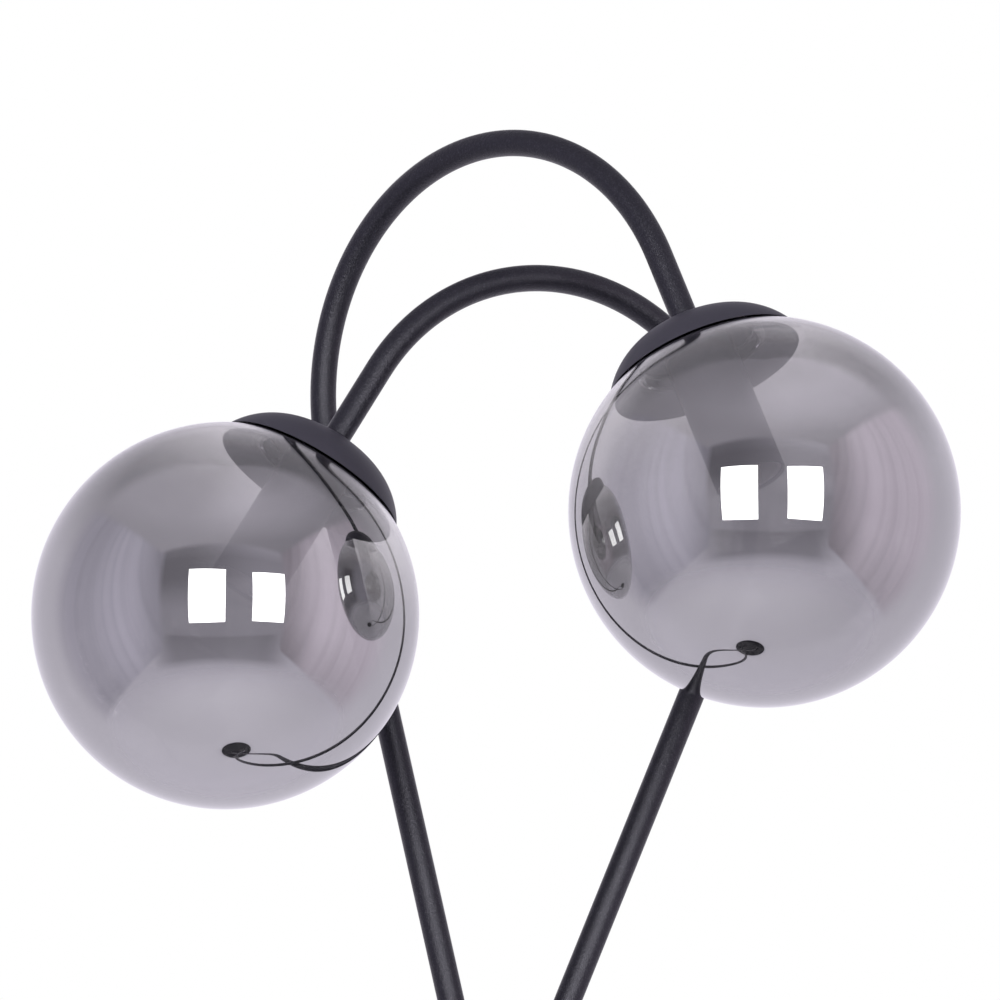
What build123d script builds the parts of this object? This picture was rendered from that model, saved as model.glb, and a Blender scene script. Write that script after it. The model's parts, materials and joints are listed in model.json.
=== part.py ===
from build123d import *
import os
from math import asin, atan2, cos, degrees, radians, sin, sqrt

os.makedirs("parts", exist_ok=True)

# Frame: +X right, +Y to the rear, +Z up, origin on the floor under the middle of the base.
# Two tubes rise from a round base, cross twice, arch over and each carries a glass globe.
# The tall tube ends at the right globe, the low tube at the left one. All sizes are in mm.

# Glass globes
globe_radius = 100.0
glass_wall = 2.5
neck_radius = 34.0
neck_height = 5.6

# Bayonet between globe and gallery
lug_count = 3
lug_depth = 1.2
lug_height = 1.6
lug_rise = 2.2
lug_arc = 34.0
tab_arc = 40.0
tab_height = 1.2
bayonet_clearance = 0.3
gasket_thickness = 1.0

# Caps over the globes
cap_wall = 1.2
cap_rise = 12.3
cap_dome_radius = 82.0
cap_edge_radius = 42.4
cap_edge_start = 21.5
cap_seat_margin = 1.0
rim_gap = 0.7
gallery_wall = 1.2
gallery_chamfer = 1.2

# Tubes, the studs in their ends and the leads inside them
tube_od = 14.2
tube_wall = 1.5
stud_spigot_length = 20.0
stud_diameter = 10.0
stud_bore = 6.0
fit_clearance = 0.05
lead_diameter = 4.4
foot_flange_diameter = 20.0
foot_flange_height = 4.0
foot_flange_edge_radius = 1.0
collar_diameter = 15.4
tube_standoff = 15.0
lock_nut_height = 5.0
lock_nut_width = 17.0
spacer_diameter = 15.0

# Lampholders
sleeve_diameter = 37.6
sleeve_wall = 1.0
sleeve_length = 81.9
holder_recess = 1.5
holder_clearance = 0.5
holder_top_height = 14.0
stud_engagement = 9.0
holder_body_height = 48.0
holder_floor = 8.0
holder_wall = 2.3
shell_clearance = 0.4
shell_wall = 1.0
shell_height = 30.0
contact_diameter = 10.0
contact_post_diameter = 3.0
contact_thickness = 1.0
contact_drop = 4.0

# Base
base_radius = 150.0
cover_wall = 1.5
cover_edge_radius = 7.0
pad_radius = 140.0
pad_thickness = 3.0
plate_thickness = 2.0
weight_thickness = 18.0
seat_clearance = 0.4
foot_web = 3.5
foot_spacing = 134.0
crossing_gap = 2.7
washer_diameter = 21.0
washer_thickness = 1.5
foot_nut_height = 4.0
nut_pocket_diameter = 26.0
wire_pocket_radius = 35.0
wire_channel_width = 7.0
wire_channel_height = 6.0
lead_bend_radius = 6.0
lead_floor_gap = 0.2
terminal_size = 30.0
terminal_height = 11.0
terminal_corner_radius = 2.2
terminal_poles = 3
terminal_bore = 4.5
terminal_sleeve_wall = 0.6
inlet_height = 12.0
inlet_bore = 6.8
inlet_neck_diameter = 9.8
inlet_flange_diameter = 14.0
inlet_flange_thickness = 1.6
inlet_channel_width = 16.0
inlet_channel_height = 15.0
plate_screw_count = 4
plate_screw_circle_radius = 105.0
plate_screw_start_angle = 45.0
plate_screw_diameter = 4.0
plate_screw_head = 7.6
plate_screw_head_height = 1.8
plate_screw_length = 12.0

# Course of the tall tube: sway, lean, stem, arch and neck
tall_foot_rise = 43.5
tall_sway_radius = 1075.0
tall_sway_angle = 20.4
tall_lean_radius = 550.0
tall_lean_angle = 13.94
tall_lean_heading = 154.63
tall_stem_run = 570.1
tall_arch_radius = 126.34
tall_arch_angle = 170.16
tall_arch_heading = -42.31
tall_neck_run = 38.95

# Course of the low tube
low_foot_rise = 43.5
low_sway_radius = 912.0
low_sway_angle = 22.1
low_lean_radius = 694.0
low_lean_angle = 22.89
low_lean_heading = 17.04
low_stem_run = 430.4
low_arch_radius = 120.87
low_arch_angle = 171.20
low_arch_heading = -150.75
low_neck_run = 44.01

# Levels of the base, from the floor up
plate_level = pad_thickness
weight_level = plate_level + plate_thickness
weight_top = weight_level + weight_thickness
base_height = weight_top + cover_wall
tube_foot_level = base_height + foot_flange_height
pocket_top = weight_top - foot_web
washer_low = pocket_top - washer_thickness
foot_nut_low = washer_low - foot_nut_height
lead_level = weight_level + lead_floor_gap + lead_diameter / 2
foot_stud_end = lead_level + lead_bend_radius
cover_bore_radius = base_radius - cover_wall
weight_radius = cover_bore_radius - seat_clearance
foot_offset = (tube_od + crossing_gap) / 2

# Levels of a head along its own axis, from the centre of the globe up
tube_bore = tube_od - 2 * tube_wall
neck_root = sqrt(globe_radius**2 - neck_radius**2)
neck_top = neck_root + neck_height
gasket_low = neck_top + bayonet_clearance
gallery_low = gasket_low + gasket_thickness
gallery_top = gallery_low + gallery_wall
cap_seat_radius = lock_nut_width / sqrt(3) + cap_seat_margin
dome_centre = globe_radius + cap_rise - cap_dome_radius
cap_top = dome_centre + sqrt(cap_dome_radius**2 - cap_seat_radius**2)
cap_underside = cap_top - cap_wall
nut_low = cap_underside - lock_nut_height
tube_end_level = globe_radius + tube_standoff
sleeve_top = gallery_low
sleeve_ceiling = sleeve_top - sleeve_wall
sleeve_low = sleeve_top - sleeve_length
sleeve_nut_low = sleeve_ceiling - lock_nut_height
body_low = sleeve_low + holder_recess
holder_low = body_low + holder_body_height
holder_top_level = holder_low + holder_top_height
head_stud_end = holder_top_level - stud_engagement
body_ceiling = holder_low - holder_floor
lug_radius = neck_radius + lug_depth
lug_low = neck_root + lug_rise
tab_top = lug_low - bayonet_clearance
skirt_bore_radius = lug_radius + bayonet_clearance
skirt_low = tab_top - tab_height
tab_radius = neck_radius + bayonet_clearance
sleeve_bore_radius = sleeve_diameter / 2 - sleeve_wall
body_radius = sleeve_bore_radius - holder_clearance
body_bore_radius = body_radius - holder_wall
shell_radius = body_bore_radius - shell_clearance
stud_hole_radius = stud_diameter / 2 + fit_clearance

up = Vector(0, 0, 1)


def lay_route(start, steps):
    """Legs of a centre line that starts upwards: 2 points for a run, 3 for a bend's arc.

    A bend stays in the upright plane that faces its heading, measured from +X.
    """
    point = Vector(*start)
    tangent = up
    legs = []
    for step in steps:
        if len(step) == 1:
            end = point + tangent * step[0]
            legs.append((point, end))
            point = end
            continue
        radius, angle, heading = step
        east, north = cos(radians(heading)), sin(radians(heading))
        slope = -(east * tangent.X + north * tangent.Y) / tangent.Z
        side = Vector(east, north, slope).normalized()
        centre = point + side * radius
        middle, end = [
            centre + (tangent * sin(turn) - side * cos(turn)) * radius
            for turn in (radians(angle / 2), radians(angle))
        ]
        legs.append((point, middle, end))
        point = end
        tangent = tangent * cos(radians(angle)) + side * sin(radians(angle))
    return legs, point, tangent


def draw_route(legs):
    """The centre line as one wire."""
    with BuildLine() as route:
        for leg in legs:
            if len(leg) == 2:
                Line(*leg)
            else:
                ThreePointArc(*leg)
    return route.wire()


def section_plane(head, turn=0.0):
    """A plane through a head's axis: x runs outwards at the given turn, y runs up the axis."""
    outward = head.x_dir * cos(radians(turn)) + head.y_dir * sin(radians(turn))
    sideways = head.z_dir.cross(outward)
    return Plane(origin=head.origin, x_dir=outward, z_dir=-sideways)


def head_axis(head):
    return Axis(head.origin, head.z_dir)


def lean(turn, length):
    """A step of that length in a section, turned from the axis towards the outside."""
    return Vector(sin(radians(turn)), cos(radians(turn))) * length


def plate_screw_spots():
    return PolarLocations(plate_screw_circle_radius, plate_screw_count, plate_screw_start_angle)


# Base: felt pad, bottom plate, cast weight, cover
with BuildPart() as base_pad:
    with BuildSketch():
        Circle(pad_radius)
    extrude(amount=pad_thickness)
base_pad.part.label = "base_pad"
export_step(base_pad.part, "parts/base_pad.step")

feet = {
    "tall": Vector(-foot_spacing / 2, foot_offset, tube_foot_level),
    "low": Vector(foot_spacing / 2, -foot_offset, tube_foot_level),
}
foot_spots = Locations(*[(foot.X, foot.Y) for foot in feet.values()])

with BuildPart() as bottom_plate:
    with BuildSketch(Plane.XY.offset(plate_level)):
        Circle(weight_radius)
    extrude(amount=plate_thickness)
    with Locations(Plane.XY.offset(plate_level).rotated((180, 0, 0))):
        with plate_screw_spots():
            CounterSinkHole(
                plate_screw_diameter / 2 + fit_clearance,
                plate_screw_head / 2 + fit_clearance,
            )
bottom_plate.part.label = "bottom_plate"
export_step(bottom_plate.part, "parts/bottom_plate.step")

with BuildPart() as base_weight:
    with BuildSketch(Plane.XY.offset(weight_level)):
        Circle(weight_radius)
        Circle(wire_pocket_radius, mode=Mode.SUBTRACT)
    extrude(amount=weight_thickness)
    top_edge = base_weight.edges().group_by(Axis.Z)[-1].sort_by(SortBy.LENGTH)[-1]
    fillet(top_edge, cover_edge_radius - cover_wall)
    # stud holes, and the nut pockets under them
    with BuildSketch(Plane.XY.offset(weight_level)):
        with foot_spots:
            Circle(stud_hole_radius)
    extrude(amount=weight_thickness, mode=Mode.SUBTRACT)
    with BuildSketch(Plane.XY.offset(weight_level)):
        with foot_spots:
            Circle(nut_pocket_diameter / 2)
    extrude(amount=pocket_top - weight_level, mode=Mode.SUBTRACT)
    # channels for the leads and for the mains inlet
    with BuildSketch(Plane.XY.offset(weight_level)):
        for foot in feet.values():
            with Locations((foot.X / 2, foot.Y)):
                Rectangle(foot_spacing / 2, wire_channel_width)
    extrude(amount=wire_channel_height, mode=Mode.SUBTRACT)
    with BuildSketch(Plane.XY.offset(weight_level)):
        Rectangle(inlet_channel_width, base_radius, align=(Align.CENTER, Align.MIN))
    extrude(amount=inlet_channel_height, mode=Mode.SUBTRACT)
    with BuildSketch(Plane.XY.offset(weight_level)):
        with plate_screw_spots():
            Circle(plate_screw_diameter / 2 + fit_clearance)
    extrude(amount=plate_screw_length, mode=Mode.SUBTRACT)
base_weight.part.label = "base_weight"
export_step(base_weight.part, "parts/base_weight.step")

with BuildPart() as base_cover:
    with BuildSketch(Plane.XY.offset(plate_level)):
        Circle(base_radius)
    extrude(amount=base_height - plate_level)
    fillet(base_cover.edges().group_by(Axis.Z)[-1], cover_edge_radius)
    offset(amount=-cover_wall, openings=base_cover.faces().sort_by(Axis.Z)[0])
    with BuildSketch(Plane.XY.offset(weight_top)):
        with foot_spots:
            Circle(stud_hole_radius)
    extrude(amount=cover_wall, mode=Mode.SUBTRACT)
    with BuildSketch(Plane.XZ.offset(-base_radius)):
        with Locations((0, inlet_height)):
            Circle(inlet_neck_diameter / 2 + fit_clearance)
    extrude(amount=2 * cover_wall, mode=Mode.SUBTRACT)
base_cover.part.label = "base_cover"
export_step(base_cover.part, "parts/base_cover.step")

# Countersunk screws that hold the bottom plate to the weight
with BuildPart() as plate_screws:
    with BuildSketch(Plane.XY.offset(plate_level)):
        with plate_screw_spots():
            Circle(plate_screw_diameter / 2)
    extrude(amount=plate_screw_length)
    with Locations(Plane.XY.offset(plate_level)):
        with plate_screw_spots():
            Cone(
                plate_screw_head / 2,
                plate_screw_diameter / 2,
                plate_screw_head_height,
                align=(Align.CENTER, Align.CENTER, Align.MIN),
            )
plate_screws.part.label = "plate_screws"
export_step(plate_screws.part, "parts/plate_screws.step")

# Mains inlet bush in the rear of the cover, without its cord
with BuildPart() as inlet_bush:
    with BuildSketch(Plane.YZ):
        with BuildLine():
            neck_outer = base_radius + fit_clearance
            neck_inner = cover_bore_radius - seat_clearance
            Polyline(
                (neck_inner - inlet_flange_thickness, inlet_height + inlet_bore / 2),
                (neck_outer + inlet_flange_thickness, inlet_height + inlet_bore / 2),
                (neck_outer + inlet_flange_thickness, inlet_height + inlet_flange_diameter / 2),
                (neck_outer, inlet_height + inlet_flange_diameter / 2),
                (neck_outer, inlet_height + inlet_neck_diameter / 2),
                (neck_inner, inlet_height + inlet_neck_diameter / 2),
                (neck_inner, inlet_height + inlet_flange_diameter / 2),
                (neck_inner - inlet_flange_thickness, inlet_height + inlet_flange_diameter / 2),
                close=True,
            )
        make_face()
    revolve(axis=Axis((0, 0, inlet_height), (0, 1, 0)))
inlet_bush.part.label = "inlet_bush"
export_step(inlet_bush.part, "parts/inlet_bush.step")

# Terminal block and its brass sleeves, in the pocket of the weight
terminal_pitch = terminal_size / terminal_poles
terminal_bore_level = weight_level + terminal_height / 2

with BuildPart() as terminal_block:
    with BuildSketch(Plane.XY.offset(weight_level)):
        Rectangle(terminal_size, terminal_size)
    extrude(amount=terminal_height)
    fillet(terminal_block.edges().filter_by(Axis.Z), terminal_corner_radius)
    with BuildSketch(Plane.XZ.offset(-terminal_size / 2)):
        with Locations((0, terminal_bore_level)):
            with GridLocations(terminal_pitch, 1, terminal_poles, 1):
                Circle(terminal_bore / 2)
    extrude(amount=terminal_size, mode=Mode.SUBTRACT)
terminal_block.part.label = "terminal_block"
export_step(terminal_block.part, "parts/terminal_block.step")

with BuildPart() as terminal_sleeves:
    with BuildSketch(Plane.XZ.offset(-terminal_size / 2)):
        with Locations((0, terminal_bore_level)):
            with GridLocations(terminal_pitch, 1, terminal_poles, 1):
                Circle(terminal_bore / 2 - fit_clearance)
                Circle(terminal_bore / 2 - fit_clearance - terminal_sleeve_wall, mode=Mode.SUBTRACT)
    extrude(amount=terminal_size)
terminal_sleeves.part.label = "terminal_sleeves"
export_step(terminal_sleeves.part, "parts/terminal_sleeves.step")

# Washers and nuts that clamp both tubes to the base
with BuildPart() as foot_washers:
    with BuildSketch(Plane.XY.offset(washer_low)):
        with foot_spots:
            Circle(washer_diameter / 2)
            Circle(stud_hole_radius, mode=Mode.SUBTRACT)
    extrude(amount=washer_thickness)
foot_washers.part.label = "foot_washers"
export_step(foot_washers.part, "parts/foot_washers.step")

with BuildPart() as foot_nuts:
    with BuildSketch(Plane.XY.offset(foot_nut_low)):
        with foot_spots:
            RegularPolygon(lock_nut_width / 2, 6, major_radius=False)
            Circle(stud_hole_radius, mode=Mode.SUBTRACT)
    extrude(amount=foot_nut_height)
foot_nuts.part.label = "foot_nuts"
export_step(foot_nuts.part, "parts/foot_nuts.step")

# Courses of both tubes, from the foot up, and the heads at their ends
courses = {
    "tall": [
        (tall_foot_rise,),
        (tall_sway_radius, tall_sway_angle, 0.0),
        (tall_sway_radius, tall_sway_angle, 180.0),
        (tall_lean_radius, tall_lean_angle, tall_lean_heading),
        (tall_stem_run,),
        (tall_arch_radius, tall_arch_angle, tall_arch_heading),
        (tall_neck_run,),
    ],
    "low": [
        (low_foot_rise,),
        (low_sway_radius, low_sway_angle, 180.0),
        (low_sway_radius, low_sway_angle, 0.0),
        (low_lean_radius, low_lean_angle, low_lean_heading),
        (low_stem_run,),
        (low_arch_radius, low_arch_angle, low_arch_heading),
        (low_neck_run,),
    ],
}

for arm, course in courses.items():
    foot = feet[arm]
    legs, tube_end, tube_end_direction = lay_route(foot, course)
    route = draw_route(legs)
    head = Plane(
        origin=tube_end + tube_end_direction * tube_end_level,
        x_dir=tube_end_direction.cross(Vector(0, 1, 0)),
        z_dir=-tube_end_direction,
    )
    profile = section_plane(head)
    axis = head_axis(head)

    # Bent steel tube
    with BuildPart() as tube:
        with BuildSketch(Plane(foot, z_dir=up)):
            Circle(tube_od / 2)
            Circle(tube_bore / 2, mode=Mode.SUBTRACT)
        sweep(path=route)
    tube.part.label = f"{arm}_tube"
    export_step(tube.part, f"parts/{arm}_tube.step")

    # Lead from the terminal block, through the tube, to the lampholder
    inward = Vector(-foot.X, 0, 0).normalized()
    lead_start = Vector(-inward.X * terminal_size / 2, foot.Y, lead_level)
    bend_start = Vector(foot.X + inward.X * lead_bend_radius, foot.Y, lead_level)
    bend_end = Vector(foot.X, foot.Y, foot_stud_end)
    bend_centre = bend_end + inward * lead_bend_radius
    bend_middle = bend_centre - (inward + up).normalized() * lead_bend_radius
    lead_end = head.origin + head.z_dir * holder_low
    lead_legs = [(lead_start, bend_start), (bend_start, bend_middle, bend_end), (bend_end, legs[0][1])]
    lead_legs += legs[1:-1] + [(legs[-1][0], lead_end)]
    with BuildPart() as lead:
        with BuildSketch(Plane(lead_start, z_dir=bend_start - lead_start)):
            Circle(lead_diameter / 2)
        sweep(path=draw_route(lead_legs))
    lead.part.label = f"{arm}_lead"
    export_step(lead.part, f"parts/{arm}_lead.step")

    # Hollow stud in the foot of the tube, with the flange that shows on the base
    with BuildPart() as foot_stud:
        with BuildSketch(Plane(foot, z_dir=up).offset(-foot_flange_height)):
            Circle(foot_flange_diameter / 2)
        extrude(amount=foot_flange_height)
        fillet(foot_stud.edges().group_by(Axis.Z)[-1], foot_flange_edge_radius)
        with BuildSketch(Plane(foot, z_dir=up)):
            Circle(tube_bore / 2 - fit_clearance)
        extrude(amount=stud_spigot_length)
        with BuildSketch(Plane.XY.offset(foot_stud_end)):
            with Locations((foot.X, foot.Y)):
                Circle(stud_diameter / 2)
        extrude(amount=base_height - foot_stud_end)
        with BuildSketch(Plane.XY.offset(foot_stud_end)):
            with Locations((foot.X, foot.Y)):
                Circle(stud_bore / 2)
        extrude(amount=tube_foot_level + stud_spigot_length - foot_stud_end, mode=Mode.SUBTRACT)
    foot_stud.part.label = f"{arm}_foot_stud"
    export_step(foot_stud.part, f"parts/{arm}_foot_stud.step")

    # Hollow stud in the upper end of the tube, with the collar that shows on the cap
    with BuildPart() as head_stud:
        with BuildSketch(profile):
            with BuildLine():
                Polyline(
                    (stud_bore / 2, head_stud_end),
                    (stud_diameter / 2, head_stud_end),
                    (stud_diameter / 2, cap_top),
                    (collar_diameter / 2, cap_top),
                    (collar_diameter / 2, tube_end_level),
                    (tube_bore / 2 - fit_clearance, tube_end_level),
                    (tube_bore / 2 - fit_clearance, tube_end_level + stud_spigot_length),
                    (stud_bore / 2, tube_end_level + stud_spigot_length),
                    close=True,
                )
            make_face()
        revolve(axis=axis)
    head_stud.part.label = f"{arm}_head_stud"
    export_step(head_stud.part, f"parts/{arm}_head_stud.step")

    # Spun cap: a flat seat for the collar, a shallow dome, and a rounder edge that ends close over the glass
    rim_radius = globe_radius + rim_gap
    with BuildPart() as cap:
        for inset, mode in ((0, Mode.ADD), (cap_wall, Mode.SUBTRACT)):
            dome_radius = cap_dome_radius - inset
            edge_radius = cap_edge_radius - inset
            top = cap_top - inset
            seat = sqrt(dome_radius**2 - (top - dome_centre) ** 2)
            seat_turn = degrees(asin(seat / dome_radius))
            edge_centre = Vector(0, dome_centre) + lean(cap_edge_start, cap_dome_radius - cap_edge_radius)
            # the edge's arc ends where it meets the sphere that stands over the glass
            reach = edge_centre.length
            along = (rim_radius**2 - edge_radius**2 + reach**2) / (2 * reach)
            aside = sqrt(rim_radius**2 - along**2)
            outward = Vector(edge_centre.Y, -edge_centre.X) / reach
            rim = edge_centre * (along / reach) + outward * aside
            rim_turn = degrees(atan2(rim.X - edge_centre.X, rim.Y - edge_centre.Y))
            edge = Vector(0, dome_centre) + lean(cap_edge_start, dome_radius)
            with BuildSketch(profile):
                with BuildLine():
                    Polyline((0, rim_radius), (0, top), (seat, top))
                    ThreePointArc(
                        (seat, top),
                        Vector(0, dome_centre) + lean((seat_turn + cap_edge_start) / 2, dome_radius),
                        edge,
                    )
                    ThreePointArc(
                        edge,
                        edge_centre + lean((cap_edge_start + rim_turn) / 2, edge_radius),
                        rim,
                    )
                    ThreePointArc(
                        rim,
                        lean(degrees(atan2(rim.X, rim.Y)) / 2, rim_radius),
                        (0, rim_radius),
                    )
                make_face()
            revolve(axis=axis, mode=mode)
        with BuildSketch(head.offset(cap_underside)):
            Circle(stud_hole_radius)
        extrude(amount=cap_wall, mode=Mode.SUBTRACT)
    cap.part.label = f"{arm}_cap"
    export_step(cap.part, f"parts/{arm}_cap.step")

    # Lock nuts under the cap and inside the lampholder sleeve, and the spacer between cap and gallery
    for nut_name, nut_level in (("cap_nut", nut_low), ("sleeve_nut", sleeve_nut_low)):
        with BuildPart() as lock_nut:
            with BuildSketch(head.offset(nut_level)):
                RegularPolygon(lock_nut_width / 2, 6, major_radius=False)
                Circle(stud_hole_radius, mode=Mode.SUBTRACT)
            extrude(amount=lock_nut_height)
        lock_nut.part.label = f"{arm}_{nut_name}"
        export_step(lock_nut.part, f"parts/{arm}_{nut_name}.step")

    with BuildPart() as spacer:
        with BuildSketch(head.offset(gallery_top)):
            Circle(spacer_diameter / 2)
            Circle(stud_hole_radius, mode=Mode.SUBTRACT)
        extrude(amount=nut_low - gallery_top)
    spacer.part.label = f"{arm}_spacer"
    export_step(spacer.part, f"parts/{arm}_spacer.step")

    # Gallery: a pressed cup whose tabs carry the lugs of the globe
    skirt_radius = skirt_bore_radius + gallery_wall
    with BuildPart() as gallery:
        with BuildSketch(profile):
            with BuildLine():
                Polyline(
                    (stud_hole_radius, gallery_low),
                    (skirt_bore_radius - gallery_chamfer, gallery_low),
                    (skirt_bore_radius, gallery_low - gallery_chamfer),
                    (skirt_bore_radius, skirt_low),
                    (skirt_radius, skirt_low),
                    (skirt_radius, gallery_top - gallery_chamfer),
                    (skirt_radius - gallery_chamfer, gallery_top),
                    (stud_hole_radius, gallery_top),
                    close=True,
                )
            make_face()
        revolve(axis=axis)
        for lug in range(lug_count):
            turn = lug * 360 / lug_count - tab_arc / 2
            with BuildSketch(section_plane(head, turn)):
                with Locations((tab_radius, skirt_low)):
                    Rectangle(
                        skirt_bore_radius + gallery_wall / 2 - tab_radius,
                        tab_height,
                        align=(Align.MIN, Align.MIN),
                    )
            revolve(axis=axis, revolution_arc=tab_arc)
    gallery.part.label = f"{arm}_gallery"
    export_step(gallery.part, f"parts/{arm}_gallery.step")

    with BuildPart() as gasket:
        with BuildSketch(head.offset(gasket_low)):
            Circle(neck_radius)
            Circle(neck_radius - glass_wall, mode=Mode.SUBTRACT)
        extrude(amount=gasket_thickness)
    gasket.part.label = f"{arm}_gasket"
    export_step(gasket.part, f"parts/{arm}_gasket.step")

    # Blown globe with a short neck and three lugs
    inner_radius = globe_radius - glass_wall
    neck_bore = neck_radius - glass_wall
    neck_inner_root = sqrt(inner_radius**2 - neck_bore**2)
    with BuildPart() as globe:
        with BuildSketch(profile):
            with BuildLine():
                ThreePointArc((0, -globe_radius), (globe_radius, 0), (neck_radius, neck_root))
                Polyline(
                    (neck_radius, neck_root),
                    (neck_radius, neck_top),
                    (neck_bore, neck_top),
                    (neck_bore, neck_inner_root),
                )
                ThreePointArc((neck_bore, neck_inner_root), (inner_radius, 0), (0, -inner_radius))
                Line((0, -inner_radius), (0, -globe_radius))
            make_face()
        revolve(axis=axis)
        for lug in range(lug_count):
            turn = lug * 360 / lug_count - lug_arc / 2
            with BuildSketch(section_plane(head, turn)):
                with Locations((neck_radius - glass_wall / 2, lug_low)):
                    Rectangle(lug_depth + glass_wall / 2, lug_height, align=(Align.MIN, Align.MIN))
            revolve(axis=axis, revolution_arc=lug_arc)
    globe.part.label = f"{arm}_globe"
    export_step(globe.part, f"parts/{arm}_globe.step")

    # Lampholder: metal sleeve, threaded top, body, screw shell and centre contact
    with BuildPart() as holder_sleeve:
        with BuildSketch(profile):
            with BuildLine():
                Polyline(
                    (stud_hole_radius, sleeve_top),
                    (sleeve_diameter / 2, sleeve_top),
                    (sleeve_diameter / 2, sleeve_low),
                    (sleeve_bore_radius, sleeve_low),
                    (sleeve_bore_radius, sleeve_ceiling),
                    (stud_hole_radius, sleeve_ceiling),
                    close=True,
                )
            make_face()
        revolve(axis=axis)
    holder_sleeve.part.label = f"{arm}_holder_sleeve"
    export_step(holder_sleeve.part, f"parts/{arm}_holder_sleeve.step")

    with BuildPart() as holder_top:
        with BuildSketch(head.offset(holder_low)):
            Circle(body_radius)
            Circle(stud_bore / 2, mode=Mode.SUBTRACT)
        extrude(amount=holder_top_height)
        with BuildSketch(head.offset(head_stud_end)):
            Circle(stud_hole_radius)
        extrude(amount=stud_engagement, mode=Mode.SUBTRACT)
    holder_top.part.label = f"{arm}_holder_top"
    export_step(holder_top.part, f"parts/{arm}_holder_top.step")

    with BuildPart() as holder_body:
        with BuildSketch(head.offset(body_low)):
            Circle(body_radius)
        extrude(amount=holder_body_height)
        with BuildSketch(head.offset(body_low)):
            Circle(body_bore_radius)
        extrude(amount=body_ceiling - body_low, mode=Mode.SUBTRACT)
    holder_body.part.label = f"{arm}_holder_body"
    export_step(holder_body.part, f"parts/{arm}_holder_body.step")

    with BuildPart() as screw_shell:
        with BuildSketch(head.offset(body_ceiling - shell_height)):
            Circle(shell_radius)
            Circle(shell_radius - shell_wall, mode=Mode.SUBTRACT)
        extrude(amount=shell_height)
    screw_shell.part.label = f"{arm}_screw_shell"
    export_step(screw_shell.part, f"parts/{arm}_screw_shell.step")

    with BuildPart() as centre_contact:
        with BuildSketch(head.offset(body_ceiling - contact_drop)):
            Circle(contact_diameter / 2)
        extrude(amount=contact_thickness)
        with BuildSketch(head.offset(body_ceiling - contact_drop)):
            Circle(contact_post_diameter / 2)
        extrude(amount=contact_drop)
    centre_contact.part.label = f"{arm}_centre_contact"
    export_step(centre_contact.part, f"parts/{arm}_centre_contact.step")
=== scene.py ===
import json
from math import acos, asin, atan2, cos, degrees, hypot, pi, radians, sin, sqrt

import bpy
from mathutils import Matrix, Vector


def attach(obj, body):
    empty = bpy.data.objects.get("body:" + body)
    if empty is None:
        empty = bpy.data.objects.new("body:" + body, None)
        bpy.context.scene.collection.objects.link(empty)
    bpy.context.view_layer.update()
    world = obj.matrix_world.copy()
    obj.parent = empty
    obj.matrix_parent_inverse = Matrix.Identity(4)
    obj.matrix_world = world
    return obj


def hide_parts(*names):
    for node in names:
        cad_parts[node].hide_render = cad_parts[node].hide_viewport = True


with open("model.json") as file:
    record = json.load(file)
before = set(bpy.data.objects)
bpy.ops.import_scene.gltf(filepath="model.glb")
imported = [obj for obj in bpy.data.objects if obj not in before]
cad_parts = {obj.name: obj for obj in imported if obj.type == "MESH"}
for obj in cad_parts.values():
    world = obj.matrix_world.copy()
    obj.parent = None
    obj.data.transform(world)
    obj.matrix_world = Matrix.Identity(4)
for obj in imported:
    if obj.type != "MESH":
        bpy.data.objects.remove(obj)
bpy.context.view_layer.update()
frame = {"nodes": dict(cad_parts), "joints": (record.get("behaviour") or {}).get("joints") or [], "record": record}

# Floor lamp: two bent black tubes cross above a round base, and each carries a smoked globe
# under a spun cap. Lengths are in metres, in the frame of the CAD model. The two arms are named
# after their tubes, tall and low.
MM = 0.001

# Globes and their necks
globe_radius = 100.0 * MM
glass_wall = 2.5 * MM
neck_radius = 34.0 * MM
neck_height = 5.6 * MM
neck_root = sqrt(globe_radius**2 - neck_radius**2)
neck_top = neck_root + neck_height
lug_count = 3
lug_depth = 1.2 * MM
lug_height = 1.6 * MM
lug_rise = 2.2 * MM
lug_arc = 34.0

# Caps, and the studs that carry them
cap_wall = 1.2 * MM
cap_rise = 12.3 * MM
cap_dome_radius = 82.0 * MM
cap_edge_radius = 42.4 * MM
cap_edge_start = 21.5
cap_seat_radius = 10.815 * MM
rim_gap = 0.7 * MM
cap_rim_radius = globe_radius + rim_gap
dome_centre = globe_radius + cap_rise - cap_dome_radius
cap_top = dome_centre + sqrt(cap_dome_radius**2 - cap_seat_radius**2)
tube_standoff = 15.0 * MM
collar_top = globe_radius + tube_standoff
collar_radius = 7.7 * MM
collar_edge_radius = 0.7 * MM
stud_radius = 5.0 * MM
stud_bore_radius = 3.0 * MM
stud_hole_radius = 5.05 * MM
spigot_length = 20.0 * MM
spigot_radius = 5.55 * MM
head_stud_end = 73.54 * MM

# Lampholders, with levels along the head's axis from the centre of the globe up
sleeve_radius = 18.8 * MM
sleeve_wall = 1.0 * MM
sleeve_top = 100.94 * MM
sleeve_low = 19.04 * MM
sleeve_edge_radius = 2.0 * MM
body_radius = 17.3 * MM
body_bore_radius = 15.0 * MM
body_low = 20.54 * MM
body_ceiling = 60.54 * MM
body_top = 68.54 * MM
shell_radius = 14.6 * MM
shell_height = 30.0 * MM
shell_wall = 0.4 * MM
thread_pitch = 3.6 * MM
thread_depth = 0.6 * MM
thread_turns = 11

# Tubes
tube_radius = 7.1 * MM
tube_wall = 1.5 * MM

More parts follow.
